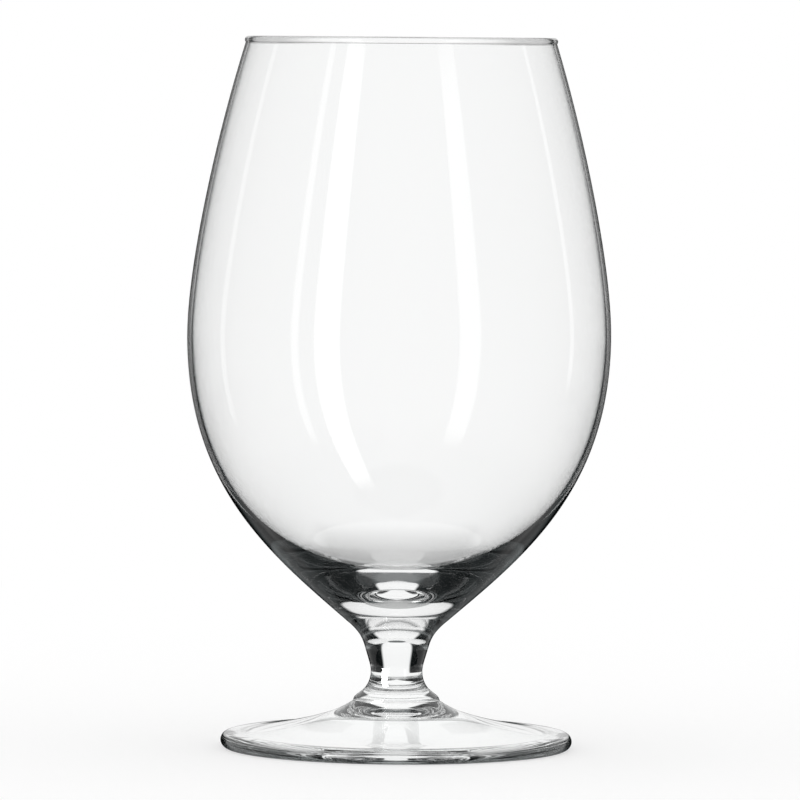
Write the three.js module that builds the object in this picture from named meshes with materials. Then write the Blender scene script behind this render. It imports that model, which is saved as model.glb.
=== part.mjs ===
import * as THREE from 'three';

// Water goblet of clear glass, in millimetres, +Z up, standing on z = 0 round the Z axis.
// Three pieces of glass, fused hot at two flat seams: a pressed foot, a short stem and a blown bowl.
// Angles are in degrees from straight up, positive outwards, and slopes in degrees from level. A handle
// is the length of a curve's tangent at one of its ends.

// Foot
const FOOT_DIAMETER = 72.2;
const FOOT_EDGE_THICKNESS = 3.2;
const FOOT_HEIGHT = 9.8;
const STANDING_RING_WIDTH = 2.5;
const HOLLOW_DEPTH = 7;
const HOLLOW_TOP_HANDLE = 15.8;
const HOLLOW_EDGE_SLOPE = 7.8;
const HOLLOW_EDGE_HANDLE = 18.1;
const FOOT_TOP_SLOPE = 5;
const FOOT_TOP_HANDLE = 11.4;
const FOOT_THROAT_SLOPE = 45;
const FOOT_THROAT_HANDLE = 3.6;

// Stem
const STEM_HEIGHT = 15.8;
const COLLAR_DIAMETER = 17.8;
const COLLAR_HEIGHT = 1.7;
const COLLAR_HANDLE = 0.7;
const FLARE_DIAMETER = 15;
const FLARE_ANGLE = 56;
const FLARE_HANDLE = 0.9;
const WAIST_DIAMETER = 10.6;
const WAIST_HEIGHT = 6.1;
const WAIST_LOWER_HANDLE = 2.6;
const WAIST_UPPER_HANDLE = 1.2;
const TAPER_DIAMETER = 14.1;
const TAPER_HEIGHT = 12.5;
const TAPER_ANGLE = 19;
const TAPER_LOWER_HANDLE = 2;
const TAPER_UPPER_HANDLE = 1.2;
const SEAM_DIAMETER = 19.2;
const SEAM_HANDLE = 1;

// Bowl
const BOWL_HEIGHT = 120.4;
const BELLY_DIAMETER = 86.9;
const BELLY_HEIGHT = 59.3;
const CONE_ANGLE = 49.4;
const CONE_HANDLE = 21.5;
const BELLY_LOWER_HANDLE = 31.5;
const BELLY_UPPER_HANDLE = 13.3;
const RIM_DIAMETER = 64.1;
const RIM_LEAN = 17;
const RIM_HANDLE = 21.5;
const RIM_BEAD = 1.5;
const RIM_WALL = 0.8;
const BELLY_WALL = 1.1;
const BASE_THICKNESS = 6.8;
const CAVITY_FLOOR_HANDLE = 14.5;
const CAVITY_WALL_HANDLE = 38.5;

// Facets: their number round the axis, and how far a chord of a profile may stray or turn
const FACETS = 60;
const CHORD_TOLERANCE = 0.05;
const CHORD_TURN = 15;

// Heights of the two seams and the rim
const LOWER_SEAM = FOOT_HEIGHT;
const UPPER_SEAM = LOWER_SEAM + STEM_HEIGHT;
const RIM_TOP = UPPER_SEAM + BOWL_HEIGHT;

const UP = 0;
const DOWN = 180;
const OUT = 90;

function radians(degrees) {
  return THREE.MathUtils.degToRad(degrees);
}

// The point at a distance from another, in a direction measured from straight up
function along(point, direction, distance) {
  const across = distance * Math.sin(radians(direction));
  const rise = distance * Math.cos(radians(direction));
  return new THREE.Vector2(point.x + across, point.y + rise);
}

// Carries a profile on to a point, leaving and arriving along two handles
function curveTo(profile, firstHandle, lastHandle, end) {
  profile.bezierCurveTo(firstHandle.x, firstHandle.y, lastHandle.x, lastHandle.y, end.x, end.y);
}

function glass(color) {
  return new THREE.MeshStandardMaterial({
    color,
    roughness: 0.03,
    metalness: 0,
    transparent: true,
    opacity: 0.35,
  });
}

// How far a curve turns from end to end, in radians
function turning(curve) {
  const samples = 32;
  let turned = 0;
  for (let i = 0; i < samples; i += 1) {
    turned += curve.getTangent(i / samples).angleTo(curve.getTangent((i + 1) / samples));
  }
  return turned;
}

// Points along a profile, closer together where it bends
function profilePoints(profile) {
  const points = [profile.curves[0].getPoint(0)];
  for (const curve of profile.curves) {
    const turned = turning(curve);
    const forTolerance = Math.sqrt((curve.getLength() * turned) / (8 * CHORD_TOLERANCE));
    const steps = Math.max(1, Math.ceil(forTolerance), Math.ceil(turned / radians(CHORD_TURN)));
    points.push(...curve.getSpacedPoints(steps).slice(1));
  }
  return points;
}

// Turns a profile of radius and height round the Z axis
function revolve(name, profile, material) {
  const geometry = new THREE.LatheGeometry(profilePoints(profile), FACETS);
  geometry.rotateX(Math.PI / 2);
  const mesh = new THREE.Mesh(geometry, material);
  mesh.name = name;
  return mesh;
}

// Disc that is hollow underneath inside its standing ring, with a rounded edge, and a top that rises
// gently and then steeply to the seam with the stem
function footProfile() {
  const edgeRadius = FOOT_EDGE_THICKNESS / 2;
  const edgeCentre = new THREE.Vector2(FOOT_DIAMETER / 2 - edgeRadius, edgeRadius);
  const edgeEnd = along(edgeCentre, FOOT_TOP_SLOPE, edgeRadius);
  const hollowTop = new THREE.Vector2(0, HOLLOW_DEPTH);
  const hollowEdge = new THREE.Vector2(edgeCentre.x - STANDING_RING_WIDTH, 0);
  const seam = new THREE.Vector2(COLLAR_DIAMETER / 2, LOWER_SEAM);

  const profile = new THREE.Path();
  profile.moveTo(hollowTop.x, hollowTop.y);
  curveTo(
    profile,
    along(hollowTop, OUT, HOLLOW_TOP_HANDLE),
    along(hollowEdge, HOLLOW_EDGE_SLOPE - OUT, HOLLOW_EDGE_HANDLE),
    hollowEdge,
  );
  profile.lineTo(edgeCentre.x, 0);
  profile.absarc(edgeCentre.x, edgeCentre.y, edgeRadius, -Math.PI / 2, radians(OUT - FOOT_TOP_SLOPE));
  curveTo(
    profile,
    along(edgeEnd, FOOT_TOP_SLOPE - OUT, FOOT_TOP_HANDLE),
    along(seam, OUT + FOOT_THROAT_SLOPE, FOOT_THROAT_HANDLE),
    seam,
  );
  profile.lineTo(0, LOWER_SEAM);
  return profile;
}

// Rounded collar on the foot, a flare in to the waist, a straight taper out again, and a soft corner
// into the slope of the bowl's cone
function stemProfile() {
  const collar = new THREE.Vector2(COLLAR_DIAMETER / 2, LOWER_SEAM);
  const flare = new THREE.Vector2(FLARE_DIAMETER / 2, LOWER_SEAM + COLLAR_HEIGHT);
  const waist = new THREE.Vector2(WAIST_DIAMETER / 2, LOWER_SEAM + WAIST_HEIGHT);
  const taper = new THREE.Vector2(TAPER_DIAMETER / 2, LOWER_SEAM + TAPER_HEIGHT);
  const seam = new THREE.Vector2(SEAM_DIAMETER / 2, UPPER_SEAM);

  const profile = new THREE.Path();
  profile.moveTo(0, LOWER_SEAM);
  profile.lineTo(collar.x, collar.y);
  curveTo(profile, along(collar, UP, COLLAR_HANDLE), along(flare, DOWN - FLARE_ANGLE, COLLAR_HANDLE), flare);
  curveTo(profile, along(flare, -FLARE_ANGLE, FLARE_HANDLE), along(waist, DOWN, WAIST_LOWER_HANDLE), waist);
  curveTo(
    profile,
    along(waist, UP, WAIST_UPPER_HANDLE),
    along(taper, DOWN + TAPER_ANGLE, TAPER_LOWER_HANDLE),
    taper,
  );
  curveTo(
    profile,
    along(taper, TAPER_ANGLE, TAPER_UPPER_HANDLE),
    along(seam, DOWN + CONE_ANGLE, SEAM_HANDLE),
    seam,
  );
  profile.lineTo(0, UPPER_SEAM);
  return profile;
}

// Solid cone under the cavity, a thin wall out to the belly and in again to the rim, the rim's bead,
// and the cavity back down to a broad round floor
function bowlProfile() {
  const beadRadius = RIM_BEAD / 2;
  const bead = new THREE.Vector2(RIM_DIAMETER / 2 - beadRadius, RIM_TOP - beadRadius);
  const neckAngle = Math.asin(RIM_WALL / RIM_BEAD);
  const tilt = radians(RIM_LEAN);
  const outerNeckAngle = neckAngle - Math.PI / 2 + tilt;
  const innerNeckAngle = 1.5 * Math.PI - neckAngle + tilt;
  const outerNeck = new THREE.Vector2(Math.cos(outerNeckAngle), Math.sin(outerNeckAngle));
  outerNeck.multiplyScalar(beadRadius).add(bead);
  const innerNeck = new THREE.Vector2(Math.cos(innerNeckAngle), Math.sin(innerNeckAngle));
  innerNeck.multiplyScalar(beadRadius).add(bead);

  const seam = new THREE.Vector2(SEAM_DIAMETER / 2, UPPER_SEAM);
  const belly = new THREE.Vector2(BELLY_DIAMETER / 2, UPPER_SEAM + BELLY_HEIGHT);
  const innerBelly = new THREE.Vector2(belly.x - BELLY_WALL, belly.y);
  const floor = new THREE.Vector2(0, UPPER_SEAM + BASE_THICKNESS);

  const profile = new THREE.Path();
  profile.moveTo(0, UPPER_SEAM);
  profile.lineTo(seam.x, seam.y);
  curveTo(profile, along(seam, CONE_ANGLE, CONE_HANDLE), along(belly, DOWN, BELLY_LOWER_HANDLE), belly);
  curveTo(
    profile,
    along(belly, UP, BELLY_UPPER_HANDLE),
    along(outerNeck, DOWN - RIM_LEAN, RIM_HANDLE),
    outerNeck,
  );
  profile.absarc(bead.x, bead.y, beadRadius, outerNeckAngle, innerNeckAngle);
  curveTo(
    profile,
    along(innerNeck, DOWN - RIM_LEAN, RIM_HANDLE),
    along(innerBelly, UP, BELLY_UPPER_HANDLE),
    innerBelly,
  );
  curveTo(
    profile,
    along(innerBelly, DOWN, CAVITY_WALL_HANDLE),
    along(floor, OUT, CAVITY_FLOOR_HANDLE),
    floor,
  );
  return profile;
}

const goblet = new THREE.Group();
goblet.add(revolve('foot', footProfile(), glass(0xeef3f1)));
goblet.add(revolve('stem', stemProfile(), glass(0xe9f0ed)));
goblet.add(revolve('bowl', bowlProfile(), glass(0xf4f8f6)));

export default goblet;
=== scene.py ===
import math

import bpy
import numpy as np
from mathutils import Matrix


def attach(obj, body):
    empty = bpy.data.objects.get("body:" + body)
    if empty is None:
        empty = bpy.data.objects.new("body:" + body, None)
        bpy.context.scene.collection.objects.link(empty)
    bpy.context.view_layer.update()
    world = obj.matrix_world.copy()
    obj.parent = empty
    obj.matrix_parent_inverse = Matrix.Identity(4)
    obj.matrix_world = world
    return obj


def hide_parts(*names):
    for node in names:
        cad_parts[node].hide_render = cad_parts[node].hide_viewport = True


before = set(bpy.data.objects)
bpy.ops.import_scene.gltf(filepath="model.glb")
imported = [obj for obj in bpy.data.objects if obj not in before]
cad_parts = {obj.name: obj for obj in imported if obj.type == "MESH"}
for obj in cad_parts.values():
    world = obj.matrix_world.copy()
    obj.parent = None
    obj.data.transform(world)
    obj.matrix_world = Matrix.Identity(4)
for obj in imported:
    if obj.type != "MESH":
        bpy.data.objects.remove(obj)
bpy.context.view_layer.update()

# A clear glass water goblet on a white table. Its three pieces of glass are turned on finer lathes
# than the frame's, from the frame's own outlines. All lengths are in metres and all angles in degrees.
# A pair of numbers says between which two values something comes or goes.

BOUNCES = 32
MIRROR_BOUNCES = 16
DEGREES = 180 / math.pi

# Turning the pieces: the steps of a lathe, the turns that make a corner or a crease, and how close to
# the axis or to level counts as there
SEGMENTS = 256
STEPS_PER_CHORD = 5
CORNER = 25
CREASE = 8
AXIS = 1e-7
LEVEL = 1e-8
DECIMALS = 8

# Glass. Painted shade darkens the edges of the bowl, the foot and the rim's bead by how far a surface
# is turned from the ray (0 to 1), the first two only at some heights.
REFRACTIVE_INDEX = 1.52
CLOUD_SCALE = 40.0
CLOUD_DETAIL = 2.0
RIPPLE_DETAIL = 1.0
BOWL_EDGE_FACING = (0.79, 0.84)
BOWL_EDGE_HEIGHT = (0.05, 0.062)
FOOT_EDGE_FACING = (0.06, 0.25)
FOOT_EDGE_HEIGHT = (0.0026, 0.0018)
RIM_NECK = 0.1444
RIM_FACING = (0.12, 0.4)
RIM_SHADE = 0.6
THIN_ABOVE = 0.045

# Studio, as the glass sees it. Azimuth 0 is straight behind the goblet, 180 is the camera's side.
# Dark levels are a little cool.
DARK = 0.006
COOL = (0.82, 1.0, 1.03)
COOL_BELOW = 0.25
# what solid glass sees: panels behind, in front and at the sides, and the grey of the front
PANEL_HALF = 21
PANEL_SOFT = 2.5
SIDE_PANEL_HALF = 9
SIDE_PANEL_SOFT = 4
SIDE_PANEL_LEVEL = 0.7
FRONT_GREY = 0.36
FRONT_RISE = (95, 180)
OVERHEAD = 0.15
OVERHEAD_RISE = (50, 65)
# how many surfaces a ray through two walls crosses, and at which elevations it stops being clear
WALL_CROSSINGS = 4
CLEAR_END = (6, 14)
# what the glass mirrors: grey, lighter beside the back, dark or dim behind the edges, white over the
# slanted far end of the table, and darker underneath
MIRROR_GREY = 0.42
BACK_GREY = 0.5
BACK_GREY_SPAN = (32, 58)
BACK_GREY_SOFT = 6
EDGE_UNDER = 0.22
EDGE_UNDER_END = (-22, -12)
EDGE_END = (28, 34)
BACK_WHITE = 0.85
BACK_WHITE_END = (90, 130)
BACK_SLANT = 0.6
BACK_RISE = (-3.5, 0)
UNDER_GREY = 0.1
UNDER_END = (-45, -25)
# the strip lights that the bowl mirrors: azimuth, half width, softness, brightness, lowest elevation
STRIPS = [
    (219.5, 7.2, 1.2, 3.2, -54),
    (141.1, 6.2, 1.2, 2.0, -35),
    (238.4, 2.4, 1.4, 2.0, -33),
    (291.4, 2.4, 1.2, 1.2, -20),
    (72.0, 2.0, 1.2, 1.5, -12),
]
STRIP_HIGH = 33
STRIP_END_SOFT = 6
STRIP_BOW = 0.0036

# Table: its matt half keeps the goblet's shadow and its other half glows
TABLE_RADIUS = 6
TABLE_SIDES = 96
TABLE_TOP = -0.00005
TABLE_MATT = 0.5
PLAIN_WHITE = (0.12, 0.45)
# white round the goblet for solid glass: for straight rays, and for those that turn often in the foot
NEAR_END = (0.11, 0.14)
ROUND_FOOT = (0.033, 0.06)
ROUND_FOOT_SOFT = 0.003
OFTEN = 5
# the painted shadow behind the goblet, seen through the bowl: its level, reach and sides
SHADE = 0.42
SHADE_REACH = (-0.02, 0.22)
SHADE_SIDES = (0.01, 0.026)

# Lamp beside the foot that only the stem mirrors
LAMP_AZIMUTH = 233
LAMP_DISTANCE = 0.045
LAMP_WIDTH = 0.022
LAMP_HEIGHT = 0.1
LAMP_POWER = 0.18

# Camera: eye, scale of the photograph at the goblet's axis, and where its rim and axis lie in it
EYE_DISTANCE = 1.49
EYE_HEIGHT = 0.146
PIXELS_PER_METRE = 4881.5
IMAGE = 800
SENSOR = 36
RIM_ROW = 36.8
AXIS_COLUMN = 398.7
ROLL = 0.45

scene = bpy.context.scene


def outline(node):
    """The node's section on the +X side, as points of radius and height from axis to axis."""
    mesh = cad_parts[node].data

    def section_point(index):
        point = mesh.vertices[index].co
        if abs(point.y) < AXIS and point.x > -AXIS:
            return round(point.x, DECIMALS), round(point.z, DECIMALS)
        return None

    links = {}
    for face in mesh.polygons:
        corners = [section_point(index) for index in face.vertices]
        for a, b in zip(corners, corners[1:] + corners[:1]):
            if a and b and a != b:
                links.setdefault(a, set()).add(b)
                links.setdefault(b, set()).add(a)
    path = [min((p for p in links if p[0] < AXIS), key=lambda p: p[1])]
    while len(path) < len(links):
        path.append(next(p for p in links[path[-1]] if p not in path))
    return np.array(path)


def runs_of(points):
    """The outline cut at its corners and at the ends of its flat faces."""
    step = np.diff(points, axis=0)
    heading = np.degrees(np.arctan2(step[:, 1], step[:, 0]))
    flat = np.abs(step[:, 1]) < LEVEL
    runs = []
    first = 0
    for i in range(1, len(points) - 1):
        turn = abs((heading[i] - heading[i - 1] + 180) % 360 - 180)
        if turn > CORNER or flat[i] != flat[i - 1]:
            runs.append(points[first:i + 1])
            first = i
    runs.append(points[first:])
    return runs


def tangents(points, span):
    """The directions of a cubic spline at its points. It is level where it meets the axis."""
    slope = np.diff(points, axis=0) / span[:, None]
    count = len(points)
    matrix = np.zeros((count, count))
    right = np.zeros((count, 2))
    for i in range(1, count - 1):
        matrix[i, i - 1] = span[i]
        matrix[i, i] = 2 * (span[i - 1] + span[i])
        matrix[i, i + 1] = span[i - 1]
        right[i] = 3 * (span[i] * slope[i - 1] + span[i - 1] * slope[i])
    matrix[0, 0] = matrix[-1, -1] = 1
    right[0] = slope[0] + (slope[0] - slope[1]) * span[0] / (span[0] + span[1])
    right[-1] = slope[-1] + (slope[-1] - slope[-2]) * span[-1] / (span[-1] + span[-2])
    for end in (0, -1):
        if points[end, 0] < AXIS:
            right[end, 1] = 0
    return np.linalg.solve(matrix, right)


def smooth(points):
    """A run as a smooth curve through its points."""
    if len(points) < 3:
        return points
    span = np.linalg.norm(np.diff(points, axis=0), axis=1)
    tangent = tangents(points, span)
    curve = [points[0]]
    for i in range(len(points) - 1):
        for t in np.arange(1, STEPS_PER_CHORD + 1) / STEPS_PER_CHORD:
            curve.append(
                (2 * t**3 - 3 * t**2 + 1) * points[i]
                + (t**3 - 2 * t**2 + t) * span[i] * tangent[i]
                + (3 * t**2 - 2 * t**3) * points[i + 1]
                + (t**3 - t**2) * span[i] * tangent[i + 1]
            )
    return np.array(curve)


def profile_of(node):
    """The node's outline as a fine profile, and for each of its chords whether it is on a fused seam,
    which is a flat face that reaches the axis."""
    profile = []
    is_seam = []
    for run in runs_of(outline(node)):
        across = abs(run[0, 1] - run[-1, 1]) < LEVEL and min(run[0, 0], run[-1, 0]) < AXIS
        curve = smooth(run)
        profile += list(curve if not profile else curve[1:])
        is_seam += [across] * (len(curve) - 1)
    return profile, is_seam


def turned(name, node, glass, seam):
    """A closed piece turned from a node's outline, of glass but for its seams."""
    profile, is_seam = profile_of(node)
    angles = np.arange(SEGMENTS) * 2 * math.pi / SEGMENTS
    vertices = []
    rings = []
    for radius, height in profile:
        if radius < AXIS:
            rings.append([len(vertices)] * SEGMENTS)
            vertices.append((0, 0, height))
        else:
            rings.append(list(range(len(vertices), len(vertices) + SEGMENTS)))
            vertices += [(radius * math.cos(a), radius * math.sin(a), height) for a in angles]
    faces = []
    slots = []
    for low, high, at_seam in zip(rings[:-1], rings[1:], is_seam):
        for i in range(SEGMENTS):
            j = (i + 1) % SEGMENTS
            corners = [low[i], low[j], high[j], high[i]]
            faces.append(list(dict.fromkeys(corners)))
            slots.append(1 if at_seam else 0)
    mesh = bpy.data.meshes.new(name)
    mesh.from_pydata(vertices, [], faces)
    mesh.materials.append(glass)
    mesh.materials.append(seam)
    mesh.polygons.foreach_set("material_index", slots)
    mesh.polygons.foreach_set("use_smooth", [True] * len(faces))
    mesh.update()
    mesh.set_sharp_from_angle(angle=math.radians(CREASE))
    piece = bpy.data.objects.new(name, mesh)
    scene.collection.objects.link(piece)
    return piece


class Nodes:
    """Writes sums as shader nodes of a material or world. A value is a number, a colour or a socket."""

    def __init__(self, owner):
        owner.use_nodes = True
        self.tree = owner.node_tree
        self.tree.nodes.clear()

    def put(self, socket, value):
        if isinstance(value, bpy.types.NodeSocket):
            self.tree.links.new(value, socket)
        else:
            socket.default_value = value

    def new(self, kind, **inputs):
        node = self.tree.nodes.new(kind)
        for name, value in inputs.items():
            self.put(node.inputs[name.replace("_", " ")], value)
        return node

    def calc(self, operation, *values, kind="ShaderNodeMath"):
        node = self.tree.nodes.new(kind)
        node.operation = operation
        for socket, value in zip(node.inputs, values):
            self.put(socket, value)
        return next(output for output in node.outputs if output.enabled)

    def chain(self, operation, values):
        total = values[0]
        for value in values[1:]:
            total = self.calc(operation, total, value)
        return total

    def product(self, *values):
        return self.chain("MULTIPLY", values)

    def largest(self, *values):
        return self.chain("MAXIMUM", values)

    def rest(self, share):
        """What a share leaves of 1."""
        return self.calc("SUBTRACT", 1.0, share)

    def rise(self, value, low, high):
        """0 below low, 1 above high, smooth between them."""
        node = self.new("ShaderNodeMapRange", Value=value, From_Min=low, From_Max=high)
        node.interpolation_type = "SMOOTHSTEP"
        return node.outputs[0]

    def within(self, value, low, high, soft):
        """1 between low and high, 0 outside, with soft ends."""
        inside = self.rise(value, low - soft, low + soft)
        beyond = self.rise(value, high - soft, high + soft)
        return self.product(inside, self.rest(beyond))

    def mix(self, a, b, share):
        return self.calc("ADD", self.product(a, self.rest(share)), self.product(b, share))

    def mix_colors(self, a, b, share):
        node = self.tree.nodes.new("ShaderNodeMix")
        node.data_type = "RGBA"
        for name, value in (("Factor", share), ("A", a), ("B", b)):
            self.put(node.inputs[name], value)
        return node.outputs["Result"]

    def mix_shaders(self, a, b, share):
        node = self.new("ShaderNodeMixShader", Fac=share)
        self.put(node.inputs[1], a)
        self.put(node.inputs[2], b)
        return node.outputs[0]

    def finish(self, kind, surface):
        self.new(kind, Surface=surface)


def glass_material(
    name, tint, tint_thick, edge_shade, edge_facing, edge_height, ripple_scale, ripple_height, rim=None
):
    """Clear polished glass with a faint uneven tint, the slight ripple of a fire-polished surface and
    painted shade on its edges. If it has a rim, painted shade lies on its bead above that height,
    and a thin wall below it."""
    material = bpy.data.materials.new(name)
    nodes = Nodes(material)
    place = nodes.new("ShaderNodeTexCoord").outputs["Object"]
    height = nodes.new("ShaderNodeSeparateXYZ", Vector=place).outputs["Z"]
    first = nodes.new("ShaderNodeLightPath").outputs["Is Camera Ray"]
    facing = nodes.new("ShaderNodeLayerWeight", Blend=0.5).outputs["Facing"]
    # painted shade: for camera rays the base colour darkens at edges turned away from the ray
    edge = nodes.product(first, nodes.rise(height, *edge_height), nodes.rise(facing, *edge_facing))
    if rim is not None:
        above = nodes.calc("GREATER_THAN", height, rim)
        # painted shade on the rim's bead, for camera rays
        bead = nodes.product(first, above, nodes.rise(facing, *RIM_FACING), RIM_SHADE)
        edge = nodes.largest(edge, bead)
    cloud = nodes.new("ShaderNodeTexNoise", Vector=place, Scale=CLOUD_SCALE, Detail=CLOUD_DETAIL)
    color = nodes.mix_colors((*tint, 1), (*tint_thick, 1), cloud.outputs["Fac"])
    ripple = nodes.new("ShaderNodeTexNoise", Vector=place, Scale=ripple_scale, Detail=RIPPLE_DETAIL)
    bump = nodes.new("ShaderNodeBump", Strength=1.0, Distance=ripple_height, Height=ripple.outputs["Fac"])
    shader = nodes.new(
        "ShaderNodeBsdfPrincipled",
        Base_Color=nodes.mix_colors(color, (*edge_shade, 1), edge),
        IOR=REFRACTIVE_INDEX,
        Roughness=0.0,
        Transmission_Weight=1.0,
        Normal=bump.outputs["Normal"],
    )
    surface = shader.outputs["BSDF"]
    if rim is not None:
        above = nodes.calc("GREATER_THAN", height, THIN_ABOVE)
        below = nodes.calc("LESS_THAN", height, rim)
        surface = thin_wall(nodes, surface, nodes.product(first, above, below))
    nodes.finish("ShaderNodeOutputMaterial", surface)
    return material


def thin_wall(nodes, solid, seen):
    """Solid glass, but a plain clear wall where the eye looks through the mouth at the far side."""
    place = nodes.new("ShaderNodeTexCoord").outputs
    radius = nodes.calc("MULTIPLY", place["Object"], (1, 1, 0), kind="ShaderNodeVectorMath")
    outward = nodes.calc("DOT_PRODUCT", place["Normal"], radius, kind="ShaderNodeVectorMath")
    inner = nodes.calc("LESS_THAN", outward, 0.0)
    leaving = nodes.new("ShaderNodeNewGeometry").outputs["Backfacing"]
    fresnel = nodes.new("ShaderNodeFresnel", IOR=REFRACTIVE_INDEX).outputs[0]
    clear = nodes.new("ShaderNodeBsdfTransparent").outputs[0]
    gloss = nodes.new("ShaderNodeBsdfAnisotropic", Roughness=0.0).outputs[0]
    wall = nodes.mix_shaders(clear, gloss, nodes.product(fresnel, nodes.rest(leaving)))
    return nodes.mix_shaders(solid, wall, nodes.product(seen, nodes.largest(inner, leaving)))


def seam_material(name):
    """Where two pieces are fused, nothing is left to see."""
    material = bpy.data.materials.new(name)
    nodes = Nodes(material)
    clear = nodes.new("ShaderNodeBsdfTransparent").outputs[0]
    nodes.finish("ShaderNodeOutputMaterial", clear)
    return material


def through_walls(nodes, path):
    """1 for a ray that has crossed two walls of the bowl, 0 for one through solid glass."""
    return nodes.calc("GREATER_THAN", path["Transmission Depth"], WALL_CROSSINGS - 0.5)


def turned_below(nodes, path, times):
    """1 for a ray that has been turned back inside the glass fewer times than this."""
    return nodes.calc("LESS_THAN", path["Glossy Depth"], times - 0.5)


def azimuth_from(nodes, x, y, centre=0):
    """The azimuth of a place or direction, counted from a centre, from -180 to 180."""
    east, north = math.sin(math.radians(centre)), math.cos(math.radians(centre))
    along = nodes.calc("ADD", nodes.product(x, east), nodes.product(y, north))
    across = nodes.calc("SUBTRACT", nodes.product(x, north), nodes.product(y, east))
    return nodes.product(nodes.calc("ARCTAN2", across, along), DEGREES)


def cool_shade(nodes, level):
    """White, and a little cool where the level is low."""
    return nodes.mix_colors((1, 1, 1, 1), (*COOL, 1), nodes.rest(nodes.product(level, 1 / COOL_BELOW)))


def panels(nodes, x, y, path):
    """Brightness by azimuth of what solid glass sees: a white panel behind, dark sides, greyer towards
    the front, and panels in front and at the sides for rays that didn't turn back inside the glass."""
    away = nodes.calc("ABSOLUTE", azimuth_from(nodes, x, y))
    low, high = PANEL_HALF - PANEL_SOFT, PANEL_HALF + PANEL_SOFT
    back = nodes.rest(nodes.rise(away, low, high))
    front = nodes.rise(away, 180 - high, 180 - low)
    side = nodes.within(away, 90 - SIDE_PANEL_HALF, 90 + SIDE_PANEL_HALF, SIDE_PANEL_SOFT)
    others = nodes.largest(front, nodes.product(side, SIDE_PANEL_LEVEL))
    others = nodes.product(others, turned_below(nodes, path, 1))
    grey = nodes.calc("ADD", nodes.product(nodes.rise(away, *FRONT_RISE), FRONT_GREY), DARK)
    return nodes.largest(grey, back, others)


def strip_light(nodes, x, y, elevation, centre, half, soft, level, lowest):
    """Brightness of an upright strip light, which is bowed as the bowl is."""
    bow = STRIP_BOW if centre < 180 else -STRIP_BOW
    bent = nodes.product(elevation, elevation, bow)
    off = nodes.calc("SUBTRACT", azimuth_from(nodes, x, y, centre), bent)
    across = nodes.within(off, -half, half, soft)
    along = nodes.within(elevation, lowest, STRIP_HIGH, STRIP_END_SOFT)
    return nodes.product(across, along, level)


def mirrored(nodes, x, y, elevation):
    """Brightness of what the glass mirrors."""
    away = nodes.calc("ABSOLUTE", azimuth_from(nodes, x, y))
    grey = nodes.mix(MIRROR_GREY, BACK_GREY, nodes.within(away, *BACK_GREY_SPAN, BACK_GREY_SOFT))
    edge = nodes.mix(EDGE_UNDER, DARK, nodes.rise(elevation, *EDGE_UNDER_END))
    grey = nodes.mix(edge, grey, nodes.rise(away, *EDGE_END))
    raised = nodes.calc("SUBTRACT", elevation, nodes.product(away, BACK_SLANT))
    behind = nodes.rest(nodes.rise(away, *BACK_WHITE_END))
    grey = nodes.mix(grey, BACK_WHITE, nodes.product(nodes.rise(raised, *BACK_RISE), behind))
    grey = nodes.mix(UNDER_GREY, grey, nodes.rise(elevation, *UNDER_END))
    return nodes.largest(grey, *[strip_light(nodes, x, y, elevation, *strip) for strip in STRIPS])


def studio_world():
    """White to the camera and through the bowl's walls. Through solid glass it has dark sides, as
    between black flags, and in reflections it is grey with strip lights."""
    scene.world = bpy.data.worlds.new("studio")
    nodes = Nodes(scene.world)
    direction = nodes.new("ShaderNodeTexCoord").outputs["Generated"]
    x, y, z = nodes.new("ShaderNodeSeparateXYZ", Vector=direction).outputs
    elevation = nodes.product(nodes.calc("ARCSINE", z), DEGREES)
    path = nodes.new("ShaderNodeLightPath").outputs
    solid = nodes.mix(panels(nodes, x, y, path), OVERHEAD, nodes.rise(elevation, *OVERHEAD_RISE))
    low = nodes.rest(nodes.rise(elevation, *CLEAR_END))
    low = nodes.product(low, turned_below(nodes, path, 3))
    clear = nodes.largest(low, turned_below(nodes, path, 2))
    through = nodes.mix(solid, 1.0, nodes.product(through_walls(nodes, path), clear))
    level = nodes.mix(1.0, mirrored(nodes, x, y, elevation), path["Is Glossy Ray"])
    level = nodes.mix(level, through, path["Is Transmission Ray"])
    light = nodes.new("ShaderNodeBackground", Color=cool_shade(nodes, level), Strength=level)
    nodes.finish("ShaderNodeOutputWorld", light.outputs[0])


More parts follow.
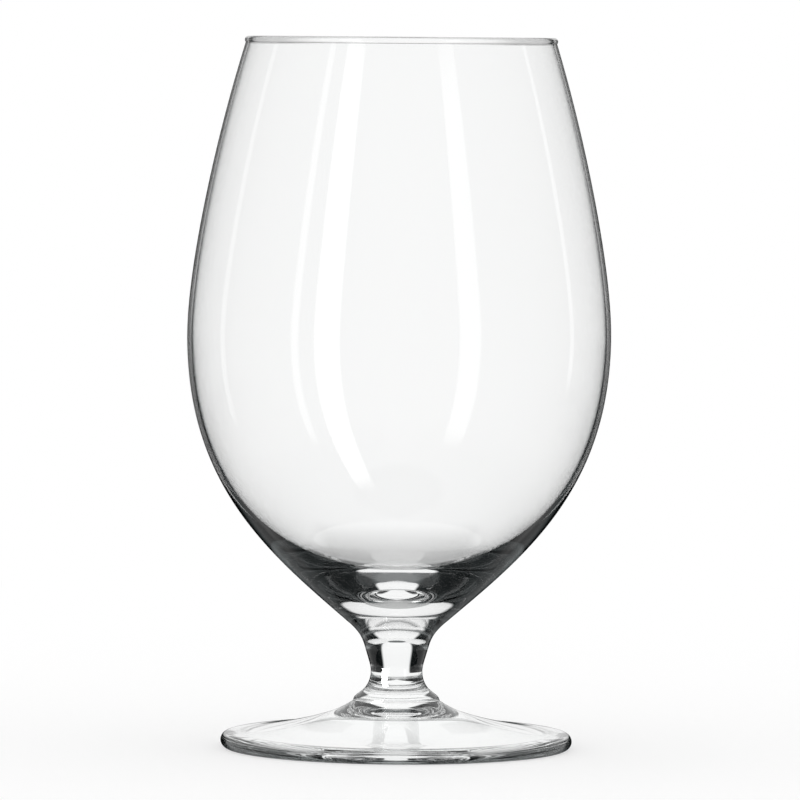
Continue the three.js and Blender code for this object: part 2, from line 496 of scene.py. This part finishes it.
def white_table():
    """A plain white table that keeps a faint shadow near the goblet. Solid glass sees the studio's
    panels in it, and the bowl a painted shadow behind the goblet, where the table glows darker."""
    bpy.ops.mesh.primitive_circle_add(
        vertices=TABLE_SIDES, radius=TABLE_RADIUS, fill_type="NGON", location=(0, 0, TABLE_TOP)
    )
    table = bpy.context.object
    table.name = "table"
    table.visible_glossy = False
    material = bpy.data.materials.new("white_table")
    table.data.materials.append(material)
    nodes = Nodes(material)
    place = nodes.new("ShaderNodeNewGeometry").outputs["Position"]
    x, y, _ = nodes.new("ShaderNodeSeparateXYZ", Vector=place).outputs
    distance = nodes.calc("SQRT", nodes.calc("ADD", nodes.product(x, x), nodes.product(y, y)))

    matt = nodes.new("ShaderNodeBsdfDiffuse", Color=(TABLE_MATT, TABLE_MATT, TABLE_MATT, 1))
    glow = nodes.new("ShaderNodeEmission", Strength=1 - TABLE_MATT)
    shaded = nodes.new("ShaderNodeAddShader")
    nodes.put(shaded.inputs[0], matt.outputs[0])
    nodes.put(shaded.inputs[1], glow.outputs[0])
    white = nodes.new("ShaderNodeEmission", Strength=1.0)
    seen = nodes.mix_shaders(shaded.outputs[0], white.outputs[0], nodes.rise(distance, *PLAIN_WHITE))

    path = nodes.new("ShaderNodeLightPath").outputs
    near = nodes.rest(nodes.rise(distance, *NEAR_END))
    near = nodes.product(near, turned_below(nodes, path, 1))
    round_foot = nodes.within(distance, *ROUND_FOOT, ROUND_FOOT_SOFT)
    round_foot = nodes.product(round_foot, nodes.rest(turned_below(nodes, path, OFTEN)))
    solid = nodes.largest(panels(nodes, x, y, path), near, round_foot)
    # painted shadow: behind the goblet the table glows darker to rays through the bowl's walls
    aside = nodes.rise(nodes.calc("ABSOLUTE", x), *SHADE_SIDES)
    before = nodes.calc("LESS_THAN", y, 0.0)
    shade = nodes.mix(SHADE, 1.0, nodes.largest(nodes.rise(distance, *SHADE_REACH), aside, before))
    level = nodes.mix(solid, shade, through_walls(nodes, path))
    through = nodes.new("ShaderNodeEmission", Color=cool_shade(nodes, level), Strength=level)
    surface = nodes.mix_shaders(seen, through.outputs[0], path["Is Transmission Ray"])
    nodes.finish("ShaderNodeOutputMaterial", surface)


def stem_lamp(stem):
    """A small upright lamp on the left, which only the stem mirrors, as a highlight."""
    data = bpy.data.lights.new("stem_lamp", "AREA")
    data.shape = "RECTANGLE"
    data.size = LAMP_WIDTH
    data.size_y = LAMP_HEIGHT
    data.energy = LAMP_POWER
    lamp = bpy.data.objects.new("stem_lamp", data)
    scene.collection.objects.link(lamp)
    around = Matrix.Rotation(-math.radians(LAMP_AZIMUTH), 4, "Z")
    beside = Matrix.Translation((0, LAMP_DISTANCE, LAMP_HEIGHT / 2))
    lamp.matrix_world = around @ beside @ Matrix.Rotation(-math.pi / 2, 4, "X")
    lamp.visible_camera = False
    lamp.visible_transmission = False
    lit = bpy.data.collections.new("lit_by_stem_lamp")
    lit.objects.link(stem)
    lamp.light_linking.receiver_collection = lit


def camera():
    """An eye at the rim's height, turned so that the goblet lies where the photograph has it."""
    focal = PIXELS_PER_METRE * EYE_DISTANCE
    data = bpy.data.cameras.new("camera")
    data.sensor_width = SENSOR
    data.lens = SENSOR * focal / IMAGE
    eye = bpy.data.objects.new("camera", data)
    scene.collection.objects.link(eye)
    pitch = math.atan((IMAGE / 2 - RIM_ROW) / focal)
    yaw = math.atan((AXIS_COLUMN - IMAGE / 2) / focal)
    turn = Matrix.Rotation(yaw, 4, "Z") @ Matrix.Rotation(math.pi / 2 - pitch, 4, "X")
    turn = turn @ Matrix.Rotation(math.radians(ROLL), 4, "Z")
    eye.matrix_world = Matrix.Translation((0, -EYE_DISTANCE, EYE_HEIGHT)) @ turn
    scene.camera = eye


scene.view_settings.view_transform = "Standard"
scene.cycles.max_bounces = BOUNCES
scene.cycles.transmission_bounces = BOUNCES
scene.cycles.glossy_bounces = MIRROR_BOUNCES
scene.cycles.transparent_max_bounces = BOUNCES

seam = seam_material("fused_seam")
blown = glass_material(
    "blown_glass",
    tint=(0.996, 0.998, 0.997),
    tint_thick=(0.992, 0.995, 0.994),
    edge_shade=(0.1, 0.1, 0.1),
    edge_facing=BOWL_EDGE_FACING,
    edge_height=BOWL_EDGE_HEIGHT,
    ripple_scale=60.0,
    ripple_height=0.000002,
    rim=RIM_NECK,
)
pressed = glass_material(
    "pressed_glass",
    tint=(0.985, 0.993, 0.99),
    tint_thick=(0.978, 0.99, 0.986),
    edge_shade=(0.1, 0.11, 0.11),
    edge_facing=FOOT_EDGE_FACING,
    edge_height=FOOT_EDGE_HEIGHT,
    ripple_scale=180.0,
    ripple_height=0.000004,
)

pieces = {}
for node, glass, slot in (
    ("bowl", blown, "blown_glass"),
    ("stem", pressed, "pressed_glass"),
    ("foot", pressed, "pressed_glass"),
):
    piece = turned("goblet_" + node, node, glass, seam)
    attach(piece, "root")
    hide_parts(node)
    pieces[node] = piece

studio_world()
white_table()
stem_lamp(pieces["stem"])
camera()
